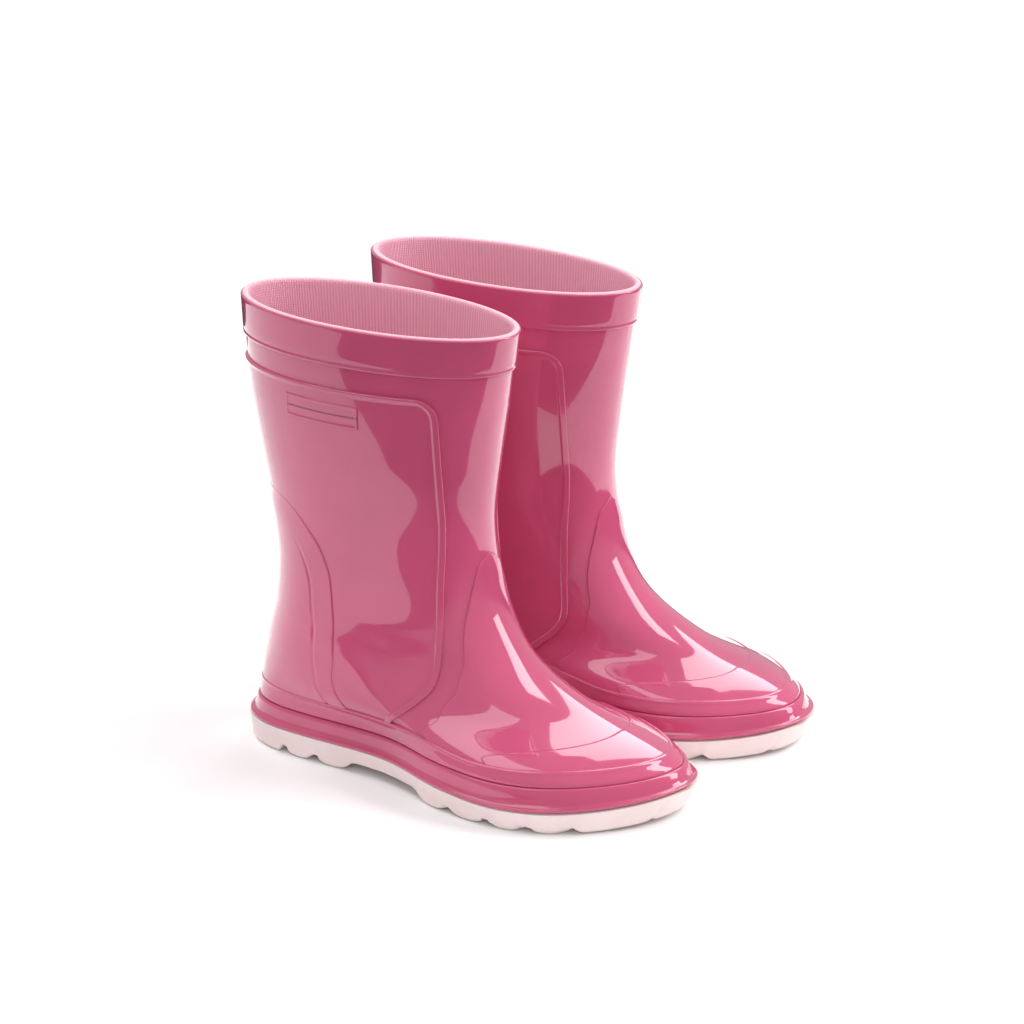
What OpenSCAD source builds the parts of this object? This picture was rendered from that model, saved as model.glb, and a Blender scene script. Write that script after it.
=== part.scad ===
// A pair of child's rubber rain boots. Each boot is laid up from a seamless
// upper, its knitted lining, and the outer rubber pieces bonded over it.
// +X points to the toes, +Y to the wearer's left, +Z up, floor at z = 0.

/* [Size] */
// Length of the upper at the welt, heel to toe
foot_length = 192; // [170:1:215]
// Width of the foot, as a part of the design width
foot_width = 1; // [0.92:0.01:1.08]
// Height of the rim above the floor, at the side of the leg
boot_height = 176; // [166:1:200]
// Distance between the centre planes of the two boots
pair_spacing = 86; // [84:1:140]

/* [Sole] */
// Height of the sole's top face under the heel
sole_height = 10; // [9:0.5:12]
// Depth of the grooves between the lugs
groove_depth = 3; // [2:0.5:4]
// Height of the arch above the floor
arch_height = 3.6; // [3:0.1:3.9]
// How far the ball of the foot sits below the heel
heel_drop = 2.2; // [0:0.2:3]
// How far the toe of the sole curves up
toe_spring = 3.4; // [0:0.2:5]
// How far the welt stands out past the upper
welt_reach = 3; // [2:0.5:4]

/* [Upper] */
// Wall of the upper
wall = 1.5; // [1.2:0.1:2.2]
// Thickness of the knitted lining
lining_wall = 0.65; // [0.5:0.05:0.9]
// Thickness of the bonded outer pieces
overlay = 0.6; // [0.4:0.05:0.8]
// Height of the band round the rim
collar_height = 15; // [10:1:20]
// Height of the leg panels' top edge above the floor
panel_top = 152.5; // [140:0.5:157]
// Radius of the leg panels' upper front corner
panel_corner = 8; // [4:1:14]

/* [Insole] */
// Thickness of the insole board
board = 1.5; // [1:0.1:2.5]
// Thickness of the loose footbed
footbed_thick = 4; // [3:0.5:5]
// Gap between the footbed and the lining, all round
footbed_gap = 4; // [3.5:0.5:6]

/* [Resolution] */
// Columns of points round each boot
around = 40; // [24:4:60]

/* [Hidden] */

// Clearance left between bonded pieces, and between the upper and its lining
bond = 0.2;
lining_bond = 0.45;

// The outer form, as level sections. Each has its height, its heel and
// instep ends along X, and its half widths on the outer and inner side.
// The half widths are for the oval that shape() then squares or pinches.
level = [10, 21, 33, 46, 61, 79, 99, 123, 149, 176];
heel_end = [6, 8.5, 10, 13, 17, 18, 14.5, 9.5, 4, 1.5];
instep_end = [198, 190, 154.5, 130, 118, 113, 111, 113.5, 117.5, 121.5];
outer_half = [42.5, 40.5, 35, 33, 31.5, 30.5, 30.5, 32, 33, 32.5];
inner_half = [34.5, 32.5, 26, 28.5, 30.5, 30.5, 30.5, 32, 33, 32.5];
// How the rim and the sections below it lean back
lean = [0, 0, 0, 0, 0, -0.003, -0.01, -0.02, -0.03, -0.035];
// Which plan shape each section has: 0 sole, 1 instep, 2 leg
plan_mix = [0, 0.05, 0.8, 1, 1, 1.45, 1.8, 2, 2, 2];

// Plan shapes: width from heel to toe, against an oval's
plan_station = [0, 0.2, 0.4, 0.6, 0.8, 1];
sole_plan = [1.1, 0.8, 0.74, 1.06, 1.31, 1.25];
instep_plan = [1.05, 1.06, 1, 0.91, 0.95, 1.15];
leg_plan = [1.02, 1.02, 1.01, 1, 1, 1];

// Edges of the bonded pieces, by height above the floor
foxing_split = 17.7;
foxing_heel_top = 25.5;
foxing_toe_drop = 3.3;
panel_level = [25, 30, 36, 42, 50, 77, 110];
panel_front = [88, 94, 101, 105, 105.5, 103.5, 103];
vamp_top = 89;
vamp_level = [24, 28, 33, 38, 42, 47, 52, 60, 69, 77, 84, 87, 89];
vamp_half = [82, 80, 71, 63, 54, 46, 38, 32, 25, 19, 13, 7, 1];
counter_top = 106;
counter_level = [25, 37, 46, 59, 72, 80, 89, 95, 100, 103, 105, 106];
counter_half = [70, 75, 80, 82, 82, 81, 77, 71, 64, 56, 42, 24];
// Height of the rim on the outer form
boot_top = 176;
cap_half = 64;
cap_rise = 5.6;
tablet_x = [40, 74];
tablet_z = [138, 147];

// Sole: where the arch starts and ends, and each lug's start and end, along X
arch_x = [65, 106];
lugs = [
    [0, 31], [34.5, 47], [50.5, arch_x[0]],
    [arch_x[1], 120.5], [124, 140], [143.5, 156], [159.5, 171.5], [175, 210]
];
lug_slope = 0.8;
// Lift of the tread under the toes
tread_lift = 3;

// How far the faces of the bonded pieces stand off the outer form
lower_foxing_out = 1.1;
raised_out = 0.6;
upper_foxing_out = 0.5;
tablet_out = 0.5;
collar_out = 0.15;

// Clearance under the insole board, and between it and the footbed
lay = 0.3;

upper_out = -overlay - bond;
upper_in = upper_out - wall;
lining_out = upper_in - lining_bond;
lining_in = lining_out - lining_wall;
welt_height = 1.7;
welt_base = sole_height + bond;

length_scale = foot_length / 192;
leg_scale = (boot_height - 61) / 115;

rubber = "#c8446c";
rubber_deep = "#b83c62";
sole_rubber = "#f0d8d8";
knit = "#d890a4";
foam = "#e6c4c8";

// ---- curves -------------------------------------------------------------

// Slope of a smooth curve at one of its own points
function slope(xs, ys, k) =
    let (a = max(k - 1, 0), b = min(k + 1, len(xs) - 1))
    (ys[b] - ys[a]) / (xs[b] - xs[a]);

// Smooth curve through the points (xs, ys)
function curve(xs, ys, x) =
    let (
        below = [for (k = [1 : len(xs) - 2]) if (x >= xs[k]) k],
        k = len(below),
        span = xs[k + 1] - xs[k],
        t = (x - xs[k]) / span
    )
    ys[k] * (1 + 2 * t) * (1 - t) * (1 - t) + slope(xs, ys, k) * span * t * (1 - t) * (1 - t)
    + ys[k + 1] * t * t * (3 - 2 * t) + slope(xs, ys, k + 1) * span * t * t * (t - 1);

function clamp(x, low, high) = min(max(x, low), high);
function ease(t) = let (u = clamp(t, 0, 1)) u * u * (3 - 2 * u);
function mix(a, b, t) = a + (b - a) * t;

// ---- the boot's outer form ----------------------------------------------

// Width of a section against an oval's, at a part of its length
function shape(z, along) =
    let (
        m = clamp(curve(level, plan_mix, z), 0, 2),
        instep = curve(plan_station, instep_plan, along)
    )
    m < 1 ? mix(curve(plan_station, sole_plan, along), instep, m)
          : mix(instep, curve(plan_station, leg_plan, along), m - 1);

// Rise and fall of the sole's top face along the foot
function sole_rise(x) =
    toe_spring * pow(clamp((x - 158) / 40, 0, 1), 2) - heel_drop * ease((x - 95) / 50);

// Point on the outer form. The angle is 0 at the toe and 90 on the inner side.
function form(angle, z) =
    let (
        along = (1 + cos(angle)) / 2,
        half = sin(angle) >= 0 ? curve(level, inner_half, z) : curve(level, outer_half, z),
        x = mix(curve(level, heel_end, z), curve(level, instep_end, z), along),
        settle = clamp((25 - z) / 15, 0, 1),
        height = z + curve(level, lean, z) * (x - 60) + sole_rise(x) * settle
    )
    [
        mix(60, x, length_scale),
        half * shape(z, along) * sin(angle) * foot_width,
        height > 61 ? 61 + (height - 61) * leg_scale : height
    ];

function unit(v) = v / norm(v);

// Point at a distance outside the outer form
function skin(angle, z, out) =
    let (
        here = form(angle, z),
        across = form(angle + 1, z) - form(angle - 1, z),
        upward = form(angle, z + 0.5) - form(angle, z - 0.5)
    )
    here + out * unit(cross(across, upward));

// Angle at which the section at this height reaches x
function angle_at(x, z) =
    let (
        heel = curve(level, heel_end, z),
        instep = curve(level, instep_end, z)
    )
    acos(clamp(2 * (x - heel) / (instep - heel) - 1, -1, 1));

// Top edge of the foxing, lower over the toes
function foxing_top(angle) =
    foxing_heel_top - foxing_toe_drop * ease(((1 + cos(angle)) / 2 - 0.48) / 0.22);

// ---- solids from grids of points ----------------------------------------

// Closed shell between an outer and an inner grid, rows upward and columns
// round the boot. A ring's columns close on themselves.
module shell(outer, inner, ring = false) {
    rows = len(outer);
    cols = len(outer[0]);
    last = ring ? cols : cols - 1;
    function at(side, r, c) = (side * rows + r) * cols + c % cols;
    skins = [
        for (r = [0 : rows - 2], c = [0 : last - 1])
            each [
                [at(0, r, c), at(0, r + 1, c), at(0, r + 1, c + 1), at(0, r, c + 1)],
                [at(1, r, c), at(1, r, c + 1), at(1, r + 1, c + 1), at(1, r + 1, c)]
            ]
    ];
    top = rows - 1;
    rims = [
        for (c = [0 : last - 1])
            each [
                [at(0, 0, c), at(0, 0, c + 1), at(1, 0, c + 1), at(1, 0, c)],
                [at(0, top, c + 1), at(0, top, c), at(1, top, c), at(1, top, c + 1)]
            ]
    ];
    ends = ring ? [] : [
        for (r = [0 : rows - 2])
            each [
                [at(0, r + 1, 0), at(0, r, 0), at(1, r, 0), at(1, r + 1, 0)],
                [at(0, r, last), at(0, r + 1, last), at(1, r + 1, last), at(1, r, last)]
            ]
    ];
    polyhedron(
        points = [for (grid = [outer, inner], row = grid) each row],
        faces = concat(skins, rims, ends)
    );
}

// Grid of a full ring at the given heights
function ring_grid(heights, out) =
    [for (z = heights) [for (c = [0 : around - 1]) skin(c * 360 / around, z, out)]];

// Full ring between two distances from the outer form
module ring(heights, out, in) {
    shell(ring_grid(heights, out), ring_grid(heights, in), ring = true);
}

// Even steps from one height to another
function steps(low, high, count) = [for (k = [0 : count]) mix(low, high, k / count)];

// Outline of the boot at a height, seen from above
function plan(z, out) =
    [for (c = [0 : 59]) let (p = skin(c * 6, z, out)) [p[0], p[1]]];

// Flat slab with the boot's plan and a side profile drawn in X and Z
module profiled_slab(outline, profile) {
    intersection() {
        linear_extrude(height = 40) polygon(outline);
        translate([0, 70, 0])
            rotate([90, 0, 0])
                linear_extrude(height = 140) polygon(profile);
    }
}

// Stations along the foot for the slabs' profiles
slab_x = [-10, 95, 102, 110, 120, 130, 138, 145, 158, 166, 174, 182, 190, 198, 210];

// Side profile of a slab that lies on the sole, between two heights over it
function lying(low, high) = concat(
    [for (x = slab_x) [mix(60, x, length_scale), sole_height + low + sole_rise(x)]],
    [
        for (k = [len(slab_x) - 1 : -1 : 0])
            [mix(60, slab_x[k], length_scale), sole_height + high + sole_rise(slab_x[k])]
    ]
);

// ---- sub-parts of a right boot, in its own centre plane ------------------

// Tread profile of the sole along one lug, with the toe's curve
function lug_points(lug) = [
    for (p = [[lug[0], 1], [lug[0] + lug_slope, 0], [lug[1] - lug_slope, 0], [lug[1], 1]])
        let (
            arch_side = p[0] == arch_x[0] || p[0] == arch_x[1],
            lift = tread_lift * pow(clamp((p[0] - 168) / 32, 0, 1), 2)
        )
        [mix(60, p[0], length_scale), (arch_side ? arch_height : groove_depth) * p[1] + lift]
];

// Sole of pale rubber: heel and forefoot lugs with a raised arch between
module outsole() {
    color(sole_rubber)
        profiled_slab(
            plan(sole_height, welt_reach - 0.4),
            concat(
                [for (lug = lugs) each lug_points(lug)],
                [
                    for (k = [len(slab_x) - 1 : -1 : 0])
                        [mix(60, slab_x[k], length_scale), sole_height + sole_rise(slab_x[k])]
                ]
            )
        );
}

// Lip that runs round the boot on top of the sole
module welt() {
    color(rubber_deep)
        ring([welt_base, welt_base + welt_height], welt_reach, upper_out + bond);
}

// Wide lower strip round the foot
module lower_foxing() {
    color(rubber_deep)
        ring(
            [welt_base + welt_height + bond, foxing_split - bond],
            lower_foxing_out,
            upper_out + bond
        );
}

// Narrow upper strip round the foot, its top edge following the toes
module upper_foxing() {
    function grid(out) = [
        for (v = [0, 0.5, 1]) [
            for (c = [0 : around - 1])
                let (angle = c * 360 / around)
                skin(angle, mix(foxing_split, foxing_top(angle), v), out)
        ]
    ];
    color(rubber)
        shell(grid(upper_foxing_out), grid(upper_out + bond), ring = true);
}

// One-piece tube of rubber that is the foot and the leg
module upper() {
    color(rubber)
        ring(
            concat(
                steps(welt_base + 1.2, 22, 3), steps(25, 46, 7),
                steps(52, 76, 3), steps(88, boot_top - 0.2, 7)
            ),
            upper_out,
            upper_in
        );
}

// Knitted lining, bonded to the inside of the upper
module lining() {
    color(knit)
        ring(
            concat(
                steps(welt_base + 1.8, 22, 3), steps(25, 46, 6),
                steps(52, 76, 3), steps(94, boot_top - 1, 5)
            ),
            lining_out,
            lining_in
        );
}

// Band bonded round the rim
module collar_band() {
    color(rubber)
        ring(steps(boot_top - collar_height, boot_top, 2), collar_out, upper_out + bond);
}

// Piece over the instep and toes, with a round tongue up the ankle
module vamp() {
    function grid(out) = [
        for (v = steps(0, 1, 12)) [
            for (u = steps(-1, 1, 16))
                let (
                    level_here = mix(24, vamp_top, v),
                    angle = u * curve(vamp_level, vamp_half, level_here),
                    low = foxing_top(angle) + 2 * bond
                )
                skin(angle, mix(low, vamp_top, v), out)
        ]
    ];
    color(rubber)
        shell(grid(0), grid(upper_out + bond));
}

// Crescent over the toes, above the foxing
module toe_cap() {
    function grid(out) = [
        for (v = [0, 0.5, 1]) [
            for (u = steps(-1, 1, 18))
                let (
                    angle = u * cap_half,
                    rise = cap_rise * pow(1 - abs(u), 0.35) + 0.3
                )
                skin(angle, foxing_top(angle) + 2 * bond + rise * v, out)
        ]
    ];
    color(rubber_deep)
        shell(grid(raised_out), grid(bond));
}

// Piece that stiffens the heel, over the back of both leg panels
module heel_counter() {
    heights = concat(
        [foxing_heel_top + 2 * bond],
        steps(34, 82, 4),
        [89, 95, 100, 103, 105, counter_top]
    );
    function grid(out) = [
        for (z = heights) [
            for (u = steps(-1, 1, 14)) skin(180 + u * curve(counter_level, counter_half, z), z, out)
        ]
    ];
    color(rubber_deep)
        shell(grid(raised_out), grid(bond));
}

// Front edge of the leg panels, with the round upper corner
function panel_edge(z) =
    let (
        into = clamp(z - (panel_top - panel_corner), 0, panel_corner),
        edge = curve(panel_level, panel_front, min(z, 110))
    )
    edge - panel_corner + sqrt(panel_corner * panel_corner - into * into);

// Large piece on one side of the leg, from the back seam to the front edge
module leg_panel(side) {
    corner_turn = [0.5, 0.8, 0.98];
    corner_low = panel_top - panel_corner;
    heights = concat(
        [foxing_heel_top + 2 * bond, 30, 36, 42, 50],
        steps(64, corner_low, 4),
        [for (t = corner_turn) corner_low + panel_corner * t],
        [panel_top]
    );
    function row(z, out) =
        let (front = angle_at(panel_edge(min(z, corner_low + panel_corner * corner_turn[2])), z))
        [for (u = steps(0, 1, 11)) skin(side * mix(front, 179.4, u), z, out)];
    function turned(list) = [for (k = [len(list) - 1 : -1 : 0]) list[k]];
    function grid(out) = [for (z = heights) side > 0 ? row(z, out) : turned(row(z, out))];
    color(rubber)
        shell(grid(0), grid(upper_out + bond));
}

module outer_leg_panel() {
    leg_panel(-1);
}

module inner_leg_panel() {
    leg_panel(1);
}

// Small plain tablet, bonded high on the outer side of the leg
module name_tablet() {
    function grid(out) = [
        for (z = steps(tablet_z[0], tablet_z[1], 2)) [
            for (u = steps(0, 1, 4)) skin(-angle_at(mix(tablet_x[0], tablet_x[1], u), z), z, out)
        ]
    ];
    color(rubber)
        shell(grid(tablet_out), grid(bond));
}

// Board that closes the bottom of the upper, inside the lining
module insole_board() {
    color(foam)
        profiled_slab(plan(sole_height + 2, lining_in - 0.5), lying(lay, lay + board));
}

// Loose foam footbed, free to lift out
module footbed() {
    low = board + 2 * lay;
    color(knit)
        profiled_slab(
            plan(sole_height + 3, lining_in - footbed_gap),
            lying(low, low + footbed_thick)
        );
}

// ---- the pair -------------------------------------------------------------

// Middle of the boot's length: the rim leans back past the heel
mid_x = (skin(0, welt_base, welt_reach)[0] + skin(180, boot_top, collar_out)[0]) / 2;

module right() {
    translate([-mid_x, -pair_spacing / 2, 0]) children();
}

module left() {
    mirror([0, 1, 0]) right() children();
}

right() outsole();  // right_outsole
right() welt();  // right_welt
right() lower_foxing();  // right_lower_foxing
right() upper_foxing();  // right_upper_foxing
right() upper();  // right_upper
right() vamp();  // right_vamp
right() toe_cap();  // right_toe_cap
right() heel_counter();  // right_heel_counter
right() outer_leg_panel();  // right_outer_leg_panel
right() inner_leg_panel();  // right_inner_leg_panel
right() collar_band();  // right_collar_band
right() lining();  // right_lining
right() insole_board();  // right_insole_board
right() footbed();  // right_footbed
right() name_tablet();  // right_name_tablet
left() outsole();  // left_outsole
left() welt();  // left_welt
left() lower_foxing();  // left_lower_foxing
left() upper_foxing();  // left_upper_foxing
left() upper();  // left_upper
left() vamp();  // left_vamp
left() toe_cap();  // left_toe_cap
left() heel_counter();  // left_heel_counter
left() outer_leg_panel();  // left_outer_leg_panel
left() inner_leg_panel();  // left_inner_leg_panel
left() collar_band();  // left_collar_band
left() lining();  // left_lining
left() insole_board();  // left_insole_board
left() footbed();  // left_footbed
left() name_tablet();  // left_name_tablet
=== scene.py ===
"""A pair of child's glossy rubber rain boots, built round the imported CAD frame.

Shapes are worked out in millimetres in one right boot's own coordinates: X from
the heel to the toe, Y towards the wearer's left, Z up from the floor. place()
turns them into metres in the frame. The left boot is the right one mirrored.
"""

import math

import bpy
import numpy as np
from mathutils import Matrix, Vector


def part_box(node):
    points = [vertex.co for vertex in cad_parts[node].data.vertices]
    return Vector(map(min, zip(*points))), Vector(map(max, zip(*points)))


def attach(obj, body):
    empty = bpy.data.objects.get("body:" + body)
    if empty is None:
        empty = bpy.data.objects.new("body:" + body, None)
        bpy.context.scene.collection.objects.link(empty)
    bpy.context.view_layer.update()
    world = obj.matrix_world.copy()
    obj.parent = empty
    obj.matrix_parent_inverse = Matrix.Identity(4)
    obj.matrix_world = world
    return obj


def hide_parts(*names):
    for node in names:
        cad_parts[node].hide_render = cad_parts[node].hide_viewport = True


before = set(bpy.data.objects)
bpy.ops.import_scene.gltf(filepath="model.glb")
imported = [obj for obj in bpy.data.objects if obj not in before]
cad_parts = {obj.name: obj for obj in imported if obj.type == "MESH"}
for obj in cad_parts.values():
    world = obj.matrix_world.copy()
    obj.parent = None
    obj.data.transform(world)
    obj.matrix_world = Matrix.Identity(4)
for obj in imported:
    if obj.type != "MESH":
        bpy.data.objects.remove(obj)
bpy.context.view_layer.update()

MM = 0.001
SIDES = ("right", "left")

# ---- the boot's outer form, as part.scad holds it ---------------------------

LEVEL = [10, 21, 33, 46, 61, 79, 99, 123, 149, 176]
HEEL_END = [6, 8.5, 10, 13, 17, 18, 14.5, 9.5, 4, 1.5]
INSTEP_END = [198, 190, 154.5, 130, 118, 113, 111, 113.5, 117.5, 121.5]
OUTER_HALF = [42.5, 40.5, 35, 33, 31.5, 30.5, 30.5, 32, 33, 32.5]
INNER_HALF = [34.5, 32.5, 26, 28.5, 30.5, 30.5, 30.5, 32, 33, 32.5]
LEAN = [0, 0, 0, 0, 0, -0.003, -0.01, -0.02, -0.03, -0.035]
PLAN_MIX = [0, 0.05, 0.8, 1, 1, 1.45, 1.8, 2, 2, 2]
PLAN_STATION = [0, 0.2, 0.4, 0.6, 0.8, 1]
SOLE_PLAN = [1.1, 0.8, 0.74, 1.06, 1.31, 1.25]
INSTEP_PLAN = [1.05, 1.06, 1, 0.91, 0.95, 1.15]
LEG_PLAN = [1.02, 1.02, 1.01, 1, 1, 1]

# Heights of the bonded pieces' edges above the floor
SOLE_TOP = 10.0
WELT_TOP = 12.4
FOXING_SPLIT = 17.7
PANEL_TOP = 152.5
PANEL_CORNER = 8.0
COLLAR_LOW = 161.0
RIM = 176.0
VAMP_TOP = 89.0
COUNTER_TOP = 106.0

# Distances of the pieces' faces from the outer form
UPPER_FACE = -0.45
PANEL_FACE = 0.0
PANEL_BAND = 0.65
VAMP_FACE = 0.2
CAP_FACE = 0.55
COUNTER_FACE = 0.55
FOXING_FACE = 0.6
LOWER_FOXING_FACE = 1.25
COLLAR_FACE = 0.5
TABLET_FACE = 0.4
UPPER_INSIDE = -1.9
LINING_INSIDE = -2.7
WELT_REACH = 3.0
FOOTBED_REACH = -7.4

# The sole's side view: the toe springs up, and the heel stands higher than the forefoot
TOE_SPRING = 3.4
SPRING_START, SPRING_LENGTH = 158, 40
HEEL_LIFT = 2.2
DROP_START, DROP_LENGTH = 95, 50
SOLE_SETTLES_AT = 25
SETTLE_HEIGHT = 15
LEAN_MIDDLE = 60

# The upper foxing's top edge, which dips over the toes
FOXING_HEEL_TOP = 25.5
FOXING_DIP = 3.3
DIP_START, DIP_LENGTH = 0.48, 0.22


def slopes(xs, ys):
    """Slope of the smooth curve at each of its points."""
    inner = (ys[2:] - ys[:-2]) / (xs[2:] - xs[:-2])
    first = (ys[1] - ys[0]) / (xs[1] - xs[0])
    last = (ys[-1] - ys[-2]) / (xs[-1] - xs[-2])
    return np.concatenate([[first], inner, [last]])


def curve(xs, ys, x):
    """Smooth curve through the points (xs, ys)."""
    xs, ys, x = (np.asarray(v, float) for v in (xs, ys, x))
    s = slopes(xs, ys)
    k = np.clip(np.searchsorted(xs, x, side="right") - 1, 0, len(xs) - 2)
    span = xs[k + 1] - xs[k]
    t = (x - xs[k]) / span
    rise = ys[k] * (1 + 2 * t) * (1 - t) ** 2 + ys[k + 1] * t * t * (3 - 2 * t)
    return rise + span * (s[k] * t * (1 - t) ** 2 + s[k + 1] * t * t * (t - 1))


def ease(t):
    t = np.clip(t, 0, 1)
    return t * t * (3 - 2 * t)


def mix(a, b, t):
    return a + (b - a) * t


def shape(z, along):
    """Width of the plan at a share of its length: the sole's plan low down, the leg's high up."""
    m = np.clip(curve(LEVEL, PLAN_MIX, z), 0, 2)
    sole, instep, leg = (curve(PLAN_STATION, p, along) for p in (SOLE_PLAN, INSTEP_PLAN, LEG_PLAN))
    return np.where(m < 1, mix(sole, instep, m), mix(instep, leg, m - 1))


def sole_rise(x):
    """Height that the toe spring adds to the sole, less what the forefoot is lower by."""
    spring = TOE_SPRING * np.clip((x - SPRING_START) / SPRING_LENGTH, 0, 1) ** 2
    return spring - HEEL_LIFT * ease((x - DROP_START) / DROP_LENGTH)


def form(angle, z):
    """Point on the outer form. The angle is in degrees, 0 at the toe and 90 on the inner side."""
    turn = np.radians(angle)
    along = (1 + np.cos(turn)) / 2
    half = np.where(np.sin(turn) >= 0, curve(LEVEL, INNER_HALF, z), curve(LEVEL, OUTER_HALF, z))
    x = mix(curve(LEVEL, HEEL_END, z), curve(LEVEL, INSTEP_END, z), along)
    settle = np.clip((SOLE_SETTLES_AT - z) / SETTLE_HEIGHT, 0, 1)
    height = z + curve(LEVEL, LEAN, z) * (x - LEAN_MIDDLE) + sole_rise(x) * settle
    return np.stack([x, half * shape(z, along) * np.sin(turn), height], -1)


def normal(angle, z):
    """Outward direction of the outer form."""
    across = form(angle + 1, z) - form(angle - 1, z)
    upward = form(angle, z + 0.5) - form(angle, z - 0.5)
    n = np.cross(across, upward)
    return n / np.linalg.norm(n, axis=-1, keepdims=True)


def skin(angle, z, out):
    """Point at a distance outside the outer form."""
    angle, z, out = np.broadcast_arrays(angle, z, out)
    return form(angle, z) + normal(angle, z) * out[..., None]


RIPPLE = 0.085
WAVE_COUNT = 7
WAVES = np.random.default_rng(11)
WAVE_WAY = WAVES.normal(size=(WAVE_COUNT, 3))
WAVE_WAY /= np.linalg.norm(WAVE_WAY, axis=1, keepdims=True)
WAVE_LENGTH = WAVES.uniform(24, 60, WAVE_COUNT)
WAVE_PHASE = WAVES.uniform(0, 2 * math.pi, WAVE_COUNT)


def surface(angle, z, out):
    """The skin with the faint unevenness that moulded rubber has."""
    angle, z, out = np.broadcast_arrays(angle, z, out)
    phase = form(angle, z) @ (WAVE_WAY * 2 * math.pi / WAVE_LENGTH[:, None]).T + WAVE_PHASE
    return skin(angle, z, out + RIPPLE * np.sin(phase).sum(-1) / math.sqrt(WAVE_COUNT))


def angle_at(x, z):
    """Angle, on the inner side, of the form's point at a distance from the heel."""
    heel, instep = curve(LEVEL, HEEL_END, z), curve(LEVEL, INSTEP_END, z)
    return np.degrees(np.arccos(np.clip(2 * (x - heel) / (instep - heel) - 1, -1, 1)))


def foxing_top(angle):
    """Height of the upper foxing's top edge."""
    along = (1 + np.cos(np.radians(angle))) / 2
    return FOXING_HEEL_TOP - FOXING_DIP * ease((along - DIP_START) / DIP_LENGTH)


# ---- where the boots stand in the frame -------------------------------------

around_sole = skin(np.arange(0, 360, 9.0), SOLE_TOP + 0.2, WELT_REACH)
welt_low, welt_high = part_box("right_welt")
SHIFT = np.array([
    welt_high.x / MM - around_sole[:, 0].max(),
    welt_low.y / MM - around_sole[:, 1].min(),
    0,
])


def place(points, side):
    """Points of the right boot in metres in the frame, mirrored for the left boot."""
    p = (np.asarray(points, float) + SHIFT) * MM
    if side == "left":
        p = p * [1, -1, 1]
    return p


# ---- meshes ------------------------------------------------------------------


def make_piece(side, node, points, faces, materials, uv=None):
    """One mesh piece of one boot. It stands for its CAD node and rides with its body."""
    piece_name = f"{side}_{node}_visual"
    mesh = bpy.data.meshes.new(piece_name)
    if side == "left":
        faces = [f[::-1] for f in faces]
    mesh.from_pydata(place(points, side).tolist(), [], faces)
    mesh.validate()
    for polygon in mesh.polygons:
        polygon.use_smooth = True
    if uv is not None:
        layer = mesh.uv_layers.new(name="fabric")
        for loop in mesh.loops:
            layer.data[loop.index].uv = uv[loop.vertex_index]
    for m in materials:
        mesh.materials.append(m)
    piece = bpy.data.objects.new(piece_name, mesh)
    bpy.context.scene.collection.objects.link(piece)
    body = f"{side}_footbed" if node == "footbed" else f"{side}_boot"
    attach(piece, body)
    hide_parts(f"{side}_{node}")
    return piece


def grid_faces(rows, cols, ring):
    """Faces of a closed shell between an outer and an inner grid of points."""
    index = np.arange(rows * cols).reshape(rows, cols)
    if ring:
        index = np.hstack([index, index[:, :1]])
    outer, inner = index, index + rows * cols

    def quads(a, b, c, d):
        return np.stack([a, b, c, d], -1).reshape(-1, 4)

    parts = [
        quads(outer[:-1, :-1], outer[:-1, 1:], outer[1:, 1:], outer[1:, :-1]),
        quads(inner[:-1, :-1], inner[1:, :-1], inner[1:, 1:], inner[:-1, 1:]),
        quads(outer[0, 1:], outer[0, :-1], inner[0, :-1], inner[0, 1:]),
        quads(outer[-1, :-1], outer[-1, 1:], inner[-1, 1:], inner[-1, :-1]),
    ]
    if not ring:
        parts.append(quads(outer[:-1, 0], outer[1:, 0], inner[1:, 0], inner[:-1, 0]))
        parts.append(quads(outer[1:, -1], outer[:-1, -1], inner[:-1, -1], inner[1:, -1]))
    return np.concatenate(parts).tolist()


def shell(side, node, outer, inner, materials, ring=False):
    rows, cols = outer.shape[:2]
    points = np.concatenate([outer.reshape(-1, 3), inner.reshape(-1, 3)])
    make_piece(side, node, points, grid_faces(rows, cols, ring), materials)


def turned(cols):
    """Angles evenly spaced right round the boot."""
    return np.arange(cols) * 360.0 / cols


def tight_ends(count, first, length, both=True):
    """Steps from 0 to 1 that start small at the ends, for rounded edges. Sizes in mm."""
    near = np.concatenate([[0, 0.06, 0.14, 0.25, 0.4, 0.6], np.arange(0.85, 4.8, 0.28)]) * first / length
    far = 1 - near[::-1] if both else np.array([1.0])
    middle = np.linspace(near[-1], far[0], count)[1:-1]
    return np.concatenate([near, middle, far])


def distance_to(points, line):
    """Distance of each point from a polyline."""
    flat = points.reshape(-1, 3)
    a, b = line[:-1], line[1:]
    ab = b - a
    length2 = np.maximum((ab ** 2).sum(1), 1e-9)
    out = np.empty(len(flat))
    for start in range(0, len(flat), 2000):
        p = flat[start:start + 2000, None, :]
        t = np.clip(((p - a) * ab).sum(-1) / length2, 0, 1)
        out[start:start + 2000] = np.linalg.norm(p - (a + t[..., None] * ab), axis=-1).min(1)
    return out.reshape(points.shape[:-1])


def rounded(e, radius):
    """Rise of a rounded edge, 0 at the edge and 1 past its radius."""
    left = np.clip(1 - e / radius, 0, 1)
    return np.sqrt(1 - left ** 2)


def patch(side, node, angles, heights, low, face, radius, relief=None, edges="tblr"):
    """A bonded piece: its face stands off the form and its edges round down to what it is bonded to."""
    flat = form(angles, heights)
    borders = {"b": flat[0], "t": flat[-1], "l": flat[:, 0], "r": flat[:, -1]}
    e = np.full(angles.shape, 1e3)
    for key in edges:
        e = np.minimum(e, distance_to(flat, borders[key]))
    out = mix(low, face, rounded(e, radius))
    if relief is not None:
        out = out + relief(flat, e)
    outer = surface(angles, heights, out)
    inner = skin(angles, heights, low - 0.5)
    shell(side, node, outer, inner, [rubber])


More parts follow.
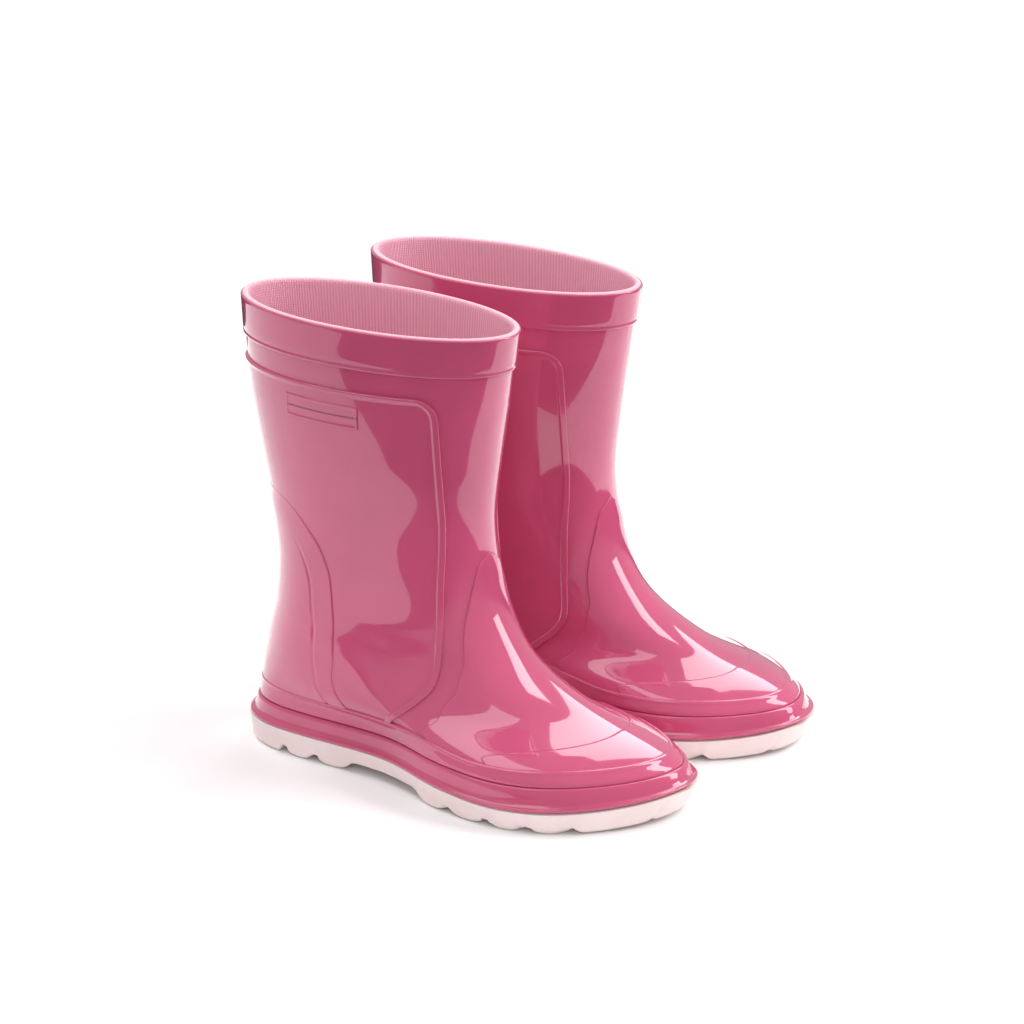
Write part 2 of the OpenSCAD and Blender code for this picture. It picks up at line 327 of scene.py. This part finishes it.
# ---- materials ---------------------------------------------------------------


class Nodes:
    """A material's node tree, with short calls for adding and linking nodes."""

    def __init__(self, name):
        self.material = bpy.data.materials.new(name)
        self.material.use_nodes = True
        self.tree = self.material.node_tree
        self.shader = self.tree.nodes["Principled BSDF"]

    def add(self, kind, **values):
        node = self.tree.nodes.new(kind)
        for key, value in values.items():
            if key in node.inputs:
                node.inputs[key].default_value = value
            else:
                setattr(node, key, value)
        return node

    def link(self, source, output, target, socket):
        self.tree.links.new(source.outputs[output], target.inputs[socket])

    def noise(self, scale, detail=3.0, roughness=0.5):
        coords = self.add("ShaderNodeTexCoord")
        noise = self.add("ShaderNodeTexNoise", Scale=scale, Detail=detail, Roughness=roughness)
        self.link(coords, "Object", noise, "Vector")
        return noise

    def ramp(self, source, output, stops):
        ramp = self.add("ShaderNodeValToRGB")
        elements = ramp.color_ramp.elements
        while len(elements) < len(stops):
            elements.new(0.5)
        for element, (position, colour) in zip(elements, stops):
            element.position = position
            element.color = (*colour, 1.0)
        self.link(source, output, ramp, "Fac")
        return ramp

    def set(self, **values):
        for key, value in values.items():
            self.shader.inputs[key.replace("_", " ")].default_value = value


def gloss_rubber(name, colour, roughness=0.08):
    """Moulded PVC rubber: nearly even colour, faint flow marks, a clear hard gloss."""
    n = Nodes(name)
    flow = n.noise(22.0, detail=2.0)
    light, dark = [c * 1.05 for c in colour], [c * 0.94 for c in colour]
    tone = n.ramp(flow, "Fac", [(0.35, dark), (0.65, light)])
    n.link(tone, "Color", n.shader, "Base Color")
    smear = n.noise(60.0, detail=4.0)
    gloss = n.add("ShaderNodeMapRange")
    gloss.inputs["From Min"].default_value = 0.3
    gloss.inputs["From Max"].default_value = 0.7
    gloss.inputs["To Min"].default_value = roughness * 0.8
    gloss.inputs["To Max"].default_value = roughness * 1.3
    n.link(smear, "Fac", gloss, "Value")
    n.link(gloss, "Result", n.shader, "Roughness")
    swell = n.noise(90.0, detail=1.0)
    bump = n.add("ShaderNodeBump", Strength=0.05, Distance=0.0004)
    n.link(swell, "Fac", bump, "Height")
    n.link(bump, "Normal", n.shader, "Normal")
    n.set(IOR=1.42, Coat_Weight=1.0, Coat_Roughness=0.02, Coat_IOR=1.5)
    return n.material


def sole_rubber():
    """Pale sole rubber: cloudy, fine-grained and satin."""
    n = Nodes("pale_sole_rubber")
    cloud = n.noise(45.0, detail=4.0)
    tone = n.ramp(cloud, "Fac", [(0.3, (0.86, 0.70, 0.69)), (0.7, (0.91, 0.77, 0.76))])
    n.link(tone, "Color", n.shader, "Base Color")
    grain = n.noise(1400.0, detail=3.0)
    bump = n.add("ShaderNodeBump", Strength=0.12, Distance=0.0002)
    n.link(grain, "Fac", bump, "Height")
    n.link(bump, "Normal", n.shader, "Normal")
    n.set(Roughness=0.45, IOR=1.48, Subsurface_Weight=0.15, Subsurface_Scale=0.003)
    return n.material


# Light pink painted on the knit where it turns over the rim: a painted highlight of the rim edge
RIM_HIGHLIGHT_TONE = (0.92, 0.48, 0.58)


def knit(name, pale, hollow_shade, columns_mm=1.1, rim=None):
    """Fine jersey: columns of V-shaped stitches with painted shade in their hollows, and a light pink where
    the knit turns over a rim, a painted highlight of the rim edge.
    """
    n = Nodes(name)
    coords = n.add("ShaderNodeUVMap", uv_map="fabric")
    split = n.add("ShaderNodeSeparateXYZ")
    n.link(coords, "UV", split, "Vector")

    def maths(operation, a, b=None):
        node = n.add("ShaderNodeMath", operation=operation)
        for socket, value in zip(node.inputs, (a, b)):
            if isinstance(value, (int, float)):
                socket.default_value = value
            elif value is not None:
                n.tree.links.new(value, socket)
        return node.outputs[0]

    across = maths("DIVIDE", split.outputs["X"], columns_mm)
    column = maths("PINGPONG", across, 0.5)
    lean = maths("MULTIPLY", column, 0.9)
    course = maths("FRACT", maths("ADD", maths("DIVIDE", split.outputs["Y"], columns_mm * 0.85), lean))
    stitch = maths("PINGPONG", course, 0.5)
    height = maths("ADD", maths("MULTIPLY", column, 1.2), maths("MULTIPLY", stitch, 0.8))
    # Painted shade: the colour follows the stitch height that also drives the bump, darkest in the hollows
    # between stitches and pale on the crests
    ramp = n.add("ShaderNodeValToRGB")
    ramp.color_ramp.elements[0].color = (*hollow_shade, 1)
    ramp.color_ramp.elements[1].color = (*pale, 1)
    ramp.color_ramp.elements[0].position = 0.1
    ramp.color_ramp.elements[1].position = 0.8
    n.tree.links.new(height, ramp.inputs["Fac"])
    if rim is None:
        n.link(ramp, "Color", n.shader, "Base Color")
    else:
        # Painted highlight: the knit turns light pink from 0.8 mm below the rim upwards
        rim_highlight_mask = n.add("ShaderNodeMapRange")
        rim_highlight_mask.inputs["From Min"].default_value = rim - 0.8
        rim_highlight_mask.inputs["From Max"].default_value = rim
        n.link(split, "Y", rim_highlight_mask, "Value")
        rim_highlight_mix = n.add("ShaderNodeMix", data_type="RGBA")
        rim_highlight_mix.inputs[7].default_value = (*RIM_HIGHLIGHT_TONE, 1)
        n.link(rim_highlight_mask, "Result", rim_highlight_mix, "Factor")
        n.tree.links.new(ramp.outputs["Color"], rim_highlight_mix.inputs[6])
        n.tree.links.new(rim_highlight_mix.outputs[2], n.shader.inputs["Base Color"])
    bump = n.add("ShaderNodeBump", Strength=0.5, Distance=0.0004)
    n.tree.links.new(height, bump.inputs["Height"])
    n.link(bump, "Normal", n.shader, "Normal")
    n.set(Roughness=0.85, Sheen_Weight=0.35, Sheen_Roughness=0.5)
    return n.material


def fibre_board():
    """Pressed fibre board of the insole."""
    n = Nodes("insole_fibre")
    fibres = n.noise(500.0, detail=6.0)
    tone = n.ramp(fibres, "Fac", [(0.35, (0.62, 0.38, 0.38)), (0.65, (0.78, 0.52, 0.52))])
    n.link(tone, "Color", n.shader, "Base Color")
    bump = n.add("ShaderNodeBump", Strength=0.4, Distance=0.0003)
    n.link(fibres, "Fac", bump, "Height")
    n.link(bump, "Normal", n.shader, "Normal")
    n.set(Roughness=0.9)
    return n.material


PINK = (0.60, 0.090, 0.200)
# Darker copy of the pink rubber: painted shade for the lower foxing and welt, which face down and away from
# the lights
SHADED_PINK = (0.58, 0.075, 0.180)
rubber = gloss_rubber("pink_rubber_gloss", PINK)
shaded_rubber = gloss_rubber("shaded_rubber_gloss", SHADED_PINK)
sole_material = sole_rubber()
# The second colour of each knit is the painted shade of its stitch hollows
lining_knit = knit("lining_knit", (0.90, 0.50, 0.60), (0.70, 0.28, 0.38), rim=RIM)
footbed_knit = knit("footbed_knit", (0.72, 0.30, 0.40), (0.55, 0.18, 0.26), columns_mm=1.4)
board_material = fibre_board()

# ---- pieces of one boot ---------------------------------------------------------


def build_upper(side):
    """The one-piece foot and leg under the bonded pieces."""
    angles = turned(216)[None, :]
    foot = [np.linspace(10.8, 24, 12), np.linspace(24.8, 60, 46)]
    leg = np.linspace(61.5, RIM - 0.4, 70)
    heights = np.concatenate([*foot, leg])[:, None]
    outer = surface(angles, heights, UPPER_FACE)
    inner = skin(angles, heights, UPPER_INSIDE)
    shell(side, "upper", outer, inner, [rubber], ring=True)


def build_collar(side):
    """The band stands proud, with a rounded lower edge and a rolled rim."""
    angles = turned(240)[None, :]
    profile = [
        (COLLAR_LOW, UPPER_FACE - 0.2),
        (COLLAR_LOW, UPPER_FACE + 0.1),
        (COLLAR_LOW + 0.08, UPPER_FACE + 0.4),
        (COLLAR_LOW + 0.3, COLLAR_FACE - 0.12),
        (COLLAR_LOW + 0.6, COLLAR_FACE),
        (COLLAR_LOW + 1.2, COLLAR_FACE),
        (COLLAR_LOW + 1.6, COLLAR_FACE - 0.12),
        (COLLAR_LOW + 2.0, COLLAR_FACE - 0.12),
        (COLLAR_LOW + 2.4, COLLAR_FACE - 0.04),
        (COLLAR_LOW + 4.0, COLLAR_FACE),
    ]
    profile += [(z, COLLAR_FACE) for z in np.linspace(COLLAR_LOW + 6, RIM - 1.6, 7)]
    lip = 0.6
    for turn in np.linspace(0, 90, 7):
        t = math.radians(turn)
        profile.append((RIM - lip + lip * math.sin(t), COLLAR_FACE - lip + lip * math.cos(t)))
    profile.append((RIM, -0.5))
    profile.append((RIM, -1.2))
    z = np.array([p[0] for p in profile])[:, None]
    out = np.array([p[1] for p in profile])[:, None]
    outer = surface(angles, z, out)
    inner_z = np.linspace(COLLAR_LOW, RIM - 0.3, len(profile))[:, None]
    inner = skin(angles, inner_z, np.linspace(UPPER_FACE - 0.4, -1.3, len(profile))[:, None])
    shell(side, "collar_band", outer, inner, [rubber], ring=True)


def build_lining(side):
    """Knit bonded inside the rubber, ribbed, and turned over at the rim."""
    ribs = 250
    cols = ribs * 4
    angles = turned(cols)[None, :]
    heights = np.concatenate([np.linspace(11.4, 60, 14), np.linspace(64, RIM - 4, 46)])
    top = [(RIM - 2.5, LINING_INSIDE), (RIM - 1.2, LINING_INSIDE), (RIM - 0.4, LINING_INSIDE + 0.12)]
    top += [(RIM + 0.1, LINING_INSIDE + 0.45), (RIM + 0.4, -1.9), (RIM + 0.5, -1.4), (RIM + 0.45, -0.9)]
    top += [(RIM + 0.3, -0.5), (RIM + 0.1, -0.3), (RIM - 0.2, -0.25)]
    z = np.concatenate([heights, [p[0] for p in top]])[:, None]
    out = np.concatenate([np.full(len(heights), LINING_INSIDE), [p[1] for p in top]])[:, None]
    wave = 0.11 * np.cos(np.arange(cols) * math.pi / 2)[None, :]
    fade = np.concatenate([np.ones(len(heights)), np.linspace(1, 0.3, len(top))])[:, None]
    inside = skin(angles, z, out + wave * fade)
    behind_z = np.linspace(11.4, RIM - 0.6, len(z))[:, None]
    behind = skin(angles, behind_z, UPPER_INSIDE + 0.15)
    rows = len(z)
    points = np.concatenate([behind.reshape(-1, 3), inside.reshape(-1, 3)])
    girth = np.arange(cols) * 1.1 / 4
    uv_inside = np.stack(np.broadcast_arrays(girth[None, :], z), -1).reshape(-1, 2)
    uv = np.concatenate([uv_inside, uv_inside])
    faces = grid_faces(rows, cols, ring=True)
    make_piece(side, "lining", points, faces, [lining_knit], uv)


def panel_edge(z):
    """How far forward a leg panel reaches, with its rounded upper corner."""
    into = np.clip(z - (PANEL_TOP - PANEL_CORNER), 0, PANEL_CORNER)
    edge = curve([25, 30, 36, 42, 50, 77, 110], [88, 94, 101, 105, 105.5, 103.5, 103], np.minimum(z, 110))
    return edge - PANEL_CORNER + np.sqrt(np.maximum(PANEL_CORNER ** 2 - into ** 2, 0))


def build_panel(side, node, hand):
    """Leg panel. A raised band runs down its front edge and thins out along its top."""
    heights = mix(24.9, PANEL_TOP, tight_ends(70, 1.0, 127.0)[:, None])
    turn = math.radians(90) * np.linspace(0, 1, 12)
    corner = PANEL_TOP - PANEL_CORNER + PANEL_CORNER * np.sin(turn)
    heights = np.unique(np.concatenate([heights[heights < corner[0] - 0.6], corner]))[:, None]
    front = angle_at(panel_edge(heights), heights)
    u = tight_ends(60, 1.0, 105.0)[None, :]
    angles = hand * mix(front, 179.75, u)
    heights = np.broadcast_to(heights, angles.shape)
    if hand < 0:
        angles, heights = angles[:, ::-1], heights[:, ::-1]
    front_col = -1 if hand < 0 else 0
    flat = form(angles, heights)
    top = flat[-1, ::-1] if hand < 0 else flat[-1]
    border = np.concatenate([flat[:, front_col], top])

    def band(points, e):
        d = distance_to(points, border)
        width = mix(1.1, 2.3, ease((PANEL_TOP - 1 - points[..., 2]) / PANEL_CORNER))
        return (PANEL_BAND - PANEL_FACE) * (1 - ease((d - width) / 0.7))

    edges = "tr" if hand < 0 else "tl"
    patch(side, node, angles, heights, UPPER_FACE - 0.1, PANEL_FACE, 0.55, band, edges)


def build_vamp(side):
    """Instep and toe overlay that narrows to a round tongue up the ankle."""
    levels = [24, 28, 33, 38, 42, 47, 52, 60, 69, 77, 84, 87, 89]
    halves = [82, 80, 71, 63, 54, 46, 38, 32, 25, 19, 13, 7, 1]
    v = tight_ends(90, 1.0, 95.0)[:, None]
    level = mix(24, VAMP_TOP, v)
    half = np.maximum(curve(levels, halves, level), 0.8)
    u = 2 * tight_ends(90, 1.0, 90.0)[None, :] - 1
    angles = u * half
    low = foxing_top(angles) - 1.0
    heights = mix(low, VAMP_TOP, (level - 24) / (VAMP_TOP - 24))
    patch(side, "vamp", angles, heights, UPPER_FACE - 0.1, VAMP_FACE, 0.55, edges="tlr")


def build_toe_cap(side):
    """Crescent over the toes, on top of the vamp."""
    half = 64.0
    u = 2 * tight_ends(110, 1.0, 110.0)[None, :] - 1
    angles = u * half
    low = foxing_top(angles) - 1.0
    rise = 1.3 + 5.6 * np.maximum(1 - np.abs(u), 1e-6) ** 0.35
    v = (1 - tight_ends(12, 1.0, 12.0, both=False)[::-1])[:, None]
    heights = low + rise * v
    angles = np.broadcast_to(angles, heights.shape)
    patch(side, "toe_cap", angles, heights, VAMP_FACE - 0.1, CAP_FACE, 1.0, edges="tlr")


def build_counter(side):
    """Heel counter: its arched front edge fades out at the top, and a groove follows it inside."""
    levels = [25, 37, 46, 59, 72, 80, 89, 95, 100, 103, 105, 106]
    halves = [70, 75, 80, 82, 82, 81, 77, 71, 64, 56, 42, 24]
    v = tight_ends(70, 1.0, 81.0)[:, None]
    heights = mix(24.8, COUNTER_TOP, v)
    half = curve(levels, halves, heights)
    u = 2 * tight_ends(230, 1.0, 100.0)[None, :] - 1
    angles = 180 + u * half
    heights = np.broadcast_to(heights, angles.shape)
    rib_z = np.linspace(25, 90, 60)
    rib_half = curve([25, 31, 42, 53, 64, 74, 83, 90], [63, 65, 69, 71, 70, 69, 65, 59], rib_z)
    ribs = [form(180 + hand * rib_half, rib_z) for hand in (-1, 1)]

    def relief(points, e):
        d = np.minimum(distance_to(points, ribs[0]), distance_to(points, ribs[1]))
        z = points[..., 2]
        banks, trough = 0.35 * np.exp(-((d / 1.3) ** 2)), 0.75 * np.exp(-((d / 0.7) ** 2))
        groove = (banks - trough) * ease((92 - z) / 14)
        fade = mix(0, PANEL_FACE + 0.1 - COUNTER_FACE, ease((z - 88) / 16) * (1 - ease((e - 1.2) / 9)))
        return groove + fade * rounded(e, 0.6)

    patch(side, "heel_counter", angles, heights, PANEL_FACE - 0.12, COUNTER_FACE, 0.6, relief, edges="tlr")


def build_tablet(side):
    """Small plain tablet with a raised frame."""
    v, u = tight_ends(14, 1.0, 9.0)[:, None], tight_ends(40, 1.0, 34.0)[None, :]
    heights = mix(138.0, 147.0, v) + 0 * u
    angles = -angle_at(mix(40.0, 74.0, u) + 0 * v, heights)

    def frame_line(points, e):
        return -0.18 * ease((e - 0.9) / 0.4)

    patch(side, "name_tablet", angles, heights, PANEL_FACE - 0.1, TABLET_FACE, 0.45, frame_line)


def ring_profile(side, node, profile, material):
    """A strip right round the boot. The profile is (height, distance) from bottom to top."""
    cols = 240
    angles = turned(cols)[None, :]
    z = np.array([p[0] for p in profile], dtype=object)
    heights = np.stack([p(angles[0]) if callable(p) else np.full(cols, float(p)) for p in z])
    out = np.array([p[1] for p in profile], float)[:, None]
    outer = surface(angles, heights, out)
    inner = skin(angles, heights, UPPER_FACE - 0.5)
    shell(side, node, outer, inner, [material], ring=True)


def build_upper_foxing(side):
    """Narrow strip with a raised bead along its dipping top edge."""
    face, split = FOXING_FACE, FOXING_SPLIT
    foot = [(-0.3, -1.0), (0, -0.8), (0.15, -0.5), (0.4, -0.2), (0.8, -0.04), (1.2, 0)]
    bead = [(1.5, 0), (1.3, 0.06), (1.1, 0.2), (0.85, 0.3), (0.55, 0.3), (0.3, 0.2), (0.12, 0.02)]
    bead += [(0.0, -0.25), (-0.05, -0.7), (-0.05, -1.2)]
    profile = [(split + rise, face + out) for rise, out in foot]
    for part in (0.2, 0.45, 0.7):
        profile.append((lambda a, part=part: mix(split + 1.2, foxing_top(a) - 1.5, part), face))
    for drop, out in bead:
        profile.append((lambda a, drop=drop: foxing_top(a) - drop, face + out))
    ring_profile(side, "upper_foxing", profile, rubber)


def build_lower_foxing(side):
    """Wide strip, flared where it meets the welt and rounded at its top."""
    face = LOWER_FOXING_FACE
    foot = [(-0.8, 0.5), (0, 0.15), (0.8, 0), (2, 0), (3.2, 0.02)]
    shoulder = [(1.0, 0), (0.9, -0.03), (0.6, -0.12), (0.35, -0.28), (0.15, -0.52), (0.05, -0.8)]
    shoulder += [(0.0, -1.1), (-0.02, -1.7)]
    profile = [(WELT_TOP + rise, face + out) for rise, out in foot]
    profile += [(FOXING_SPLIT - drop, face + out) for drop, out in shoulder]
    # Painted shade: the lower foxing takes the darker copy of the pink rubber
    ring_profile(side, "lower_foxing", profile, shaded_rubber)


def build_welt(side):
    """Lip with a rounded edge that draws in under the lower foxing."""
    lip = [(0.05, -0.9), (0.1, -0.4), (0.35, -0.1), (0.7, 0), (1.0, -0.08), (1.25, -0.35)]
    lip += [(1.5, -0.8), (1.85, -1.2)]
    profile = [(SOLE_TOP + rise, WELT_REACH + out) for rise, out in lip]
    profile += [(WELT_TOP, LOWER_FOXING_FACE + 0.2), (WELT_TOP + 0.3, LOWER_FOXING_FACE - 0.1)]
    # Painted shade: the welt takes the darker copy of the pink rubber
    ring_profile(side, "welt", profile, shaded_rubber)


LUGS = [(0, 31), (34.5, 47), (50.5, 65), (106, 120.5), (124, 140), (143.5, 156), (159.5, 171.5), (175, 210)]
GROOVE_DEPTH = 3.0
ARCH_HEIGHT = 3.6


LUG_EDGE = 2.4
LUG_CROWN = 1.5
ARCH_START, ARCH_END = 64, 107
ARCH_RAMP = 6
CHANNELS = (-14, 12)
TOE_LIFT = 3.0


def tread(x, y):
    """Height of the sole's underside: rounded lugs, grooves between them and a raised arch."""
    depth = np.full(np.shape(x), 1.0)
    for start, end in LUGS:
        soft = LUG_EDGE
        inside = ease((x - start + soft / 2) / soft) * ease((end + soft / 2 - x) / soft)
        depth = np.minimum(depth, 1 - inside)
    arch = ease((x - ARCH_START) / ARCH_RAMP) * ease((ARCH_END - x) / ARCH_RAMP)
    groove = GROOVE_DEPTH - 0.9 * ease((np.abs(y + 4) - 22) / 8)
    rise = mix(groove, ARCH_HEIGHT, arch) * depth
    for start, end in LUGS[1:-1]:
        middle, half = (start + end) / 2, (end - start) / 2
        part = np.clip(np.abs(x - middle) / half, 0, 1)
        rise = rise + np.where(np.abs(x - middle) <= half, LUG_CROWN * part ** 2.6, 0)
    channel = sum(np.exp(-(((y - c) / 1.3) ** 2)) for c in CHANNELS)
    rise = np.maximum(rise, 1.6 * channel * (1 - arch))
    return rise + TOE_LIFT * np.clip((x - 168) / 32, 0, 1) ** 2


def level_outline(edge):
    """The edge's outline at floor level, and the level direction into it at each point."""
    flat = edge.copy()
    flat[:, 2] = 0
    ahead = np.roll(flat, -1, 0) - np.roll(flat, 1, 0)
    inward = np.stack([-ahead[:, 1], ahead[:, 0], 0 * ahead[:, 0]], -1)
    return flat, inward / np.linalg.norm(inward, axis=-1, keepdims=True)


def closed_pad(wall, nets):
    """Points and faces of a flat solid: rings round its wall, and a net over the first and the last ring.

    Each net is its count of steps across and a function that gives its heights, or None for a plain one.
    """
    count, cols = wall.shape[:2]
    half = cols // 2
    index = np.arange(count * cols).reshape(count, cols)
    closed = np.hstack([index, index[:, :1]])
    quads = np.stack([closed[:-1, :-1], closed[:-1, 1:], closed[1:, 1:], closed[1:, :-1]], -1)
    faces = quads.reshape(-1, 4).tolist()
    points = [wall.reshape(-1, 3)]
    total = index.size
    right = np.arange(1, half)
    left = cols - right
    for row, (across, heights) in zip((0, count - 1), nets):
        t = np.linspace(0, 1, across + 1)[None, 1:-1, None]
        net = mix(wall[row, left][:, None, :], wall[row, right][:, None, :], t)
        if heights is not None:
            net[..., 2] = heights(net, t[..., 0])
        number = np.arange(net.shape[0] * net.shape[1]).reshape(net.shape[:2]) + total
        points.append(net.reshape(-1, 3))
        total += number.size
        full = np.concatenate([index[row, left][:, None], number, index[row, right][:, None]], 1)
        toe_row = np.full((1, full.shape[1]), index[row, 0])
        heel_row = np.full((1, full.shape[1]), index[row, half])
        full = np.concatenate([toe_row, full, heel_row])
        a, b, c, d = full[:-1, :-1], full[:-1, 1:], full[1:, 1:], full[1:, :-1]
        order = (a, b, c, d) if row == 0 else (a, d, c, b)
        for quad in np.stack(order, -1).reshape(-1, 4).tolist():
            corners = list(dict.fromkeys(quad))
            if len(corners) > 2:
                faces.append(corners[::-1])
    return np.concatenate(points), faces


def build_outsole(side):
    """Pale sole: its wall draws in towards the floor and rounds under into the tread."""
    angles = turned(480)
    edge = skin(angles, SOLE_TOP, WELT_REACH - 0.1)
    edge[:, 2] = SOLE_TOP + 0.08 + sole_rise(edge[:, 0])
    flat, inward = level_outline(edge)
    under = tread(flat[:, 0], flat[:, 1])
    taper = 1.0 + 1.8 * ease((flat[:, 0] - 165) / 35)
    corner = 2.0
    rows = [edge]
    for t in (0.02, 0.08, 0.2, 0.4, 0.6, 0.8, 1.0):
        inset = taper * t ** 1.3
        ring = flat + inward * inset[:, None]
        ring[:, 2] = mix(edge[:, 2], under + corner, t)
        rows.append(ring)
    for turn in (20, 40, 60, 75, 90):
        a = math.radians(turn)
        inset = taper + corner * (1 - math.cos(a))
        ring = flat + inward * inset[:, None]
        below = tread(ring[:, 0], ring[:, 1])
        ring[:, 2] = mix(under, below, turn / 90) + corner * (1 - math.sin(a))
        rows.append(ring)

    def underside(net, t):
        return tread(net[..., 0], net[..., 1])

    points, faces = closed_pad(np.stack(rows[::-1]), [(72, underside), (3, None)])
    make_piece(side, "outsole", points, faces, [sole_material])


def build_footbed(side):
    """Foam footbed with a soft rounded edge and a shallow heel cup, faced with knit."""
    edge = skin(turned(240), 13.0, FOOTBED_REACH)
    flat, inward = level_outline(edge)
    low, thick, radius = SOLE_TOP + 2.1, 4.0, 1.3
    rings = []
    for turn in (-90, -60, -30, 0, 30, 60, 90):
        a = math.radians(turn)
        ring = flat + inward * (radius * (1 - math.cos(a)))
        middle = low + (radius if turn < 0 else thick - radius)
        ring[:, 2] = middle + radius * math.sin(a) + sole_rise(ring[:, 0])
        rings.append(ring)

    def heel_cup(net, t):
        x = net[..., 0]
        dish = 0.9 * np.sin(t * math.pi) ** 0.8
        return net[..., 2] - dish * ease((110 - x) / 60) * ease((x - 12) / 25)

    points, faces = closed_pad(np.stack(rings), [(30, None), (30, heel_cup)])
    footbed = make_piece(side, "footbed", points, faces, [footbed_knit], uv=points[:, [0, 1]])


for side in SIDES:
    build_upper(side)
    build_collar(side)
    build_lining(side)
    build_panel(side, "outer_leg_panel", -1)
    build_panel(side, "inner_leg_panel", 1)
    build_vamp(side)
    build_toe_cap(side)
    build_counter(side)
    build_tablet(side)
    build_upper_foxing(side)
    build_lower_foxing(side)
    build_welt(side)
    build_outsole(side)
    build_footbed(side)
    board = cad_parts[f"{side}_insole_board"]
    board.data.materials[0] = board_material

# ---- camera ----------------------------------------------------------------------

AZIMUTH, ELEVATION = math.radians(34.3), math.radians(17.6)
DISTANCE = 1.5
PICTURE_WIDTH = 0.389354
right_way = Vector((math.cos(AZIMUTH), math.sin(AZIMUTH), 0))
back = Vector((
    math.sin(AZIMUTH) * math.cos(ELEVATION),
    -math.cos(AZIMUTH) * math.cos(ELEVATION),
    math.sin(ELEVATION),
))
up = back.cross(right_way)
boot_middle = Vector(((95 + SHIFT[0]) * MM, SHIFT[1] * MM, 81 * MM))
picture_middle = boot_middle + right_way * 0.0222 + up * 0.0194
camera_data = bpy.data.cameras.new("camera")
camera_data.sensor_width = 36
camera_data.lens = DISTANCE / PICTURE_WIDTH * camera_data.sensor_width
camera = bpy.data.objects.new("camera", camera_data)
bpy.context.scene.collection.objects.link(camera)
camera.location = boot_middle + back * DISTANCE
camera.rotation_mode = "QUATERNION"
camera.rotation_quaternion = (picture_middle - camera.location).to_track_quat("-Z", "Y")
bpy.context.scene.camera = camera

# ---- studio ------------------------------------------------------------------------

TABLE_CORNER = Vector((0.10, -0.24, 0))
TABLE_TURN = math.radians(46)
TABLE_LEFT, TABLE_RIGHT, TABLE_DEPTH = 1.3, 0.6, 0.85
ROOM_LOW, ROOM_HIGH = 0.04, 0.45
CAMERA_WHITE = 1.05
HORIZON_BLEND = 0.04


def make_floor():
    """A pale table top. It ends close in front of the boots, whose outer sides mirror the dim room."""
    mesh = bpy.data.meshes.new("floor")
    edge = Vector((math.cos(TABLE_TURN), math.sin(TABLE_TURN), 0))
    depth = Vector((-edge.y, edge.x, 0)) * TABLE_DEPTH
    left, right = TABLE_CORNER - edge * TABLE_LEFT, TABLE_CORNER + edge * TABLE_RIGHT
    mesh.from_pydata([tuple(c) for c in (left, right, right + depth, left + depth)], [], [(0, 1, 2, 3)])
    floor = bpy.data.objects.new("floor", mesh)
    bpy.context.scene.collection.objects.link(floor)
    n = Nodes("floor_paper")
    grain = n.noise(40.0)
    tone = n.ramp(grain, "Fac", [(0.3, (0.93, 0.93, 0.93)), (0.7, (0.95, 0.95, 0.95))])
    n.link(tone, "Color", n.shader, "Base Color")
    n.set(Roughness=1.0, Specular_IOR_Level=0.0)
    mesh.materials.append(n.material)


def softbox(name, middle, target, width, height, radiance, long_way=None, mirrored=True):
    """Rectangular area light that faces the target. long_way turns its width along a direction."""
    data = bpy.data.lights.new(name, "AREA")
    data.shape = "RECTANGLE"
    data.size, data.size_y = width, height
    data.energy = radiance * width * height * math.pi
    light = bpy.data.objects.new(name, data)
    bpy.context.scene.collection.objects.link(light)
    light.location = middle
    facing = (Vector(middle) - Vector(target)).normalized()
    across = Vector(long_way or facing.orthogonal())
    across = (across - facing * across.dot(facing)).normalized()
    light.rotation_mode = "QUATERNION"
    light.rotation_quaternion = Matrix((across, facing.cross(across), facing)).transposed().to_quaternion()
    light.visible_glossy = mirrored


def make_world():
    """White to the camera. To other rays a room, brighter above the horizon than below it."""
    world = bpy.data.worlds.new("studio")
    world.use_nodes = True
    tree = world.node_tree
    background = tree.nodes["Background"]
    coords = tree.nodes.new("ShaderNodeTexCoord")
    split = tree.nodes.new("ShaderNodeSeparateXYZ")
    room = tree.nodes.new("ShaderNodeMapRange")
    path = tree.nodes.new("ShaderNodeLightPath")
    level = tree.nodes.new("ShaderNodeMix")
    room.inputs["From Min"].default_value = -HORIZON_BLEND
    room.inputs["From Max"].default_value = HORIZON_BLEND
    room.inputs["To Min"].default_value = ROOM_LOW
    room.inputs["To Max"].default_value = ROOM_HIGH
    level.inputs["B"].default_value = CAMERA_WHITE
    background.inputs["Color"].default_value = (1, 1, 1, 1)
    tree.links.new(coords.outputs["Generated"], split.inputs["Vector"])
    tree.links.new(split.outputs["Z"], room.inputs["Value"])
    tree.links.new(path.outputs["Is Camera Ray"], level.inputs["Factor"])
    tree.links.new(room.outputs["Result"], level.inputs["A"])
    tree.links.new(level.outputs["Result"], background.inputs["Strength"])
    bpy.context.scene.world = world


make_floor()
make_world()
floor_middle = (0, 0, 0.05)
softbox("strip", (0.84, 0.98, 1.02), (0.02, -0.05, 0.05), 1.75, 0.42, 5.2, long_way=(1.5, 0.75, -0.45))
softbox("behind", (-0.19, 1.0, 1.25), floor_middle, 0.36, 1.1, 3.6, long_way=(1, 0, 0))
softbox("before", (-0.42, -0.36, 1.25), floor_middle, 0.95, 0.62, 1.95, long_way=(1, 0, 0))
softbox("front_fill", boot_middle + back * 2.2 + up * 0.3, boot_middle, 1.6, 1.6, 1.4, mirrored=False)
softbox("floor_wash", (0.9, 0.5, 0.9), (0.5, 0.3, 0), 0.6, 0.6, 6.0, mirrored=False)
softbox("left_wash", (-1.2, 0.2, 1.4), (-0.4, 0.1, 0), 1.0, 1.0, 3.6, mirrored=False)
bpy.context.scene.view_settings.view_transform = "Standard"
